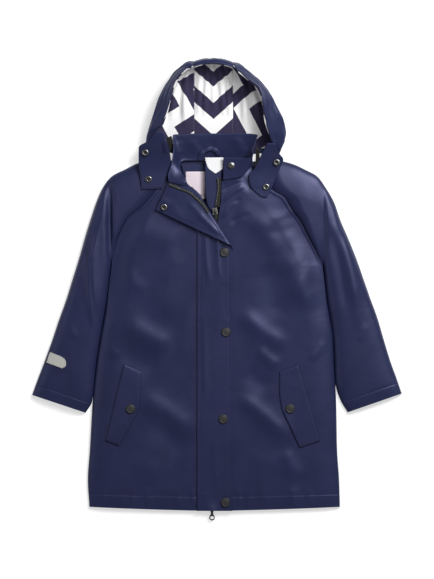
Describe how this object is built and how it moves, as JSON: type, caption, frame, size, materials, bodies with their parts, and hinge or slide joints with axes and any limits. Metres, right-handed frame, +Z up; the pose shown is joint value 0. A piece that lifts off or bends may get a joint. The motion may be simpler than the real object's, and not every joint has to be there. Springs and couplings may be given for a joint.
{
  "type": "hooded raincoat",
  "caption": "Child's hooded raincoat laid flat on its back, with raglan sleeves and a zip closed under a snapped storm flap whose top corner is turned back.",
  "frame": {"origin": "centre of the bounding box, at its bottom, on the surface the coat lies on", "axes": "+Z up from the surface, +Y from the hem to the hood, +X from the wearer's right sleeve to the left one"},
  "size_m": [0.6474, 0.8082, 0.05],
  "materials": {
    "coated_navy": "smooth satin coated cloth",
    "printed_lining": "matt cotton, chevron print",
    "white_lining": "matt cotton",
    "gunmetal": "dark satin metal",
    "nickel": "dull nickel",
    "zip_black": "woven tape and moulded teeth",
    "label_cloth": "satin woven label",
    "reflective_grey": "reflective coated patch"
  },
  "bodies": {
    "coat": {"back": "coated_navy", "chin_guard": "white_lining", "collar": "coated_navy", "facing_right": "coated_navy", "front_left": "coated_navy", "front_right": "coated_navy", "hanging_loop": "coated_navy", "hood_centre": "coated_navy", "hood_left": "coated_navy", "hood_lining_centre": "printed_lining", "hood_lining_left": "printed_lining", "hood_lining_right": "printed_lining", "hood_right": "coated_navy", "hood_tab_left": "coated_navy", "hood_tab_right": "coated_navy", "hood_tape_left": "zip_black", "hood_tape_right": "zip_black", "neck_facing": "coated_navy", "neck_label": "label_cloth", "pocket_flap_left": "coated_navy", "pocket_flap_right": "coated_navy", "sleeve_left": "coated_navy", "sleeve_patch": "reflective_grey", "sleeve_right": "coated_navy", "snap_front_1": "gunmetal", "snap_front_2": "gunmetal", "snap_front_3": "gunmetal", "snap_front_4": "gunmetal", "snap_pocket_left": "gunmetal", "snap_pocket_right": "gunmetal", "snap_socket_flap": "nickel", "snap_socket_left_lower": "nickel", "snap_socket_left_upper": "nickel", "snap_socket_right_lower": "nickel", "snap_socket_right_upper": "nickel", "snap_stud_collar": "nickel", "storm_flap": "coated_navy", "zip_bridge_bottom": "gunmetal", "zip_bridge_top": "gunmetal", "zip_closed": "zip_black", "zip_guard": "coated_navy", "zip_half_left": "zip_black", "zip_half_right": "zip_black", "zip_slider_bottom": "gunmetal", "zip_slider_top": "gunmetal"},
    "pull_top": {"zip_pull_top": "gunmetal"},
    "pull_bottom": {"zip_pull_bottom": "gunmetal"}
  },
  "joints": [
    {"name": "top_pull_hinge", "type": "hinge", "parent": "coat", "child": "pull_top", "pos_m": [-0.00314, 0.13582, 0.02227], "axis": [-0.9848, -0.1736, 0], "range_deg": [0, 110]},
    {"name": "bottom_pull_hinge", "type": "hinge", "parent": "coat", "child": "pull_bottom", "pos_m": [-0.0087, -0.3822, 0.00777], "axis": [-1, 0, 0], "range_deg": [0, 28]}
  ]
}
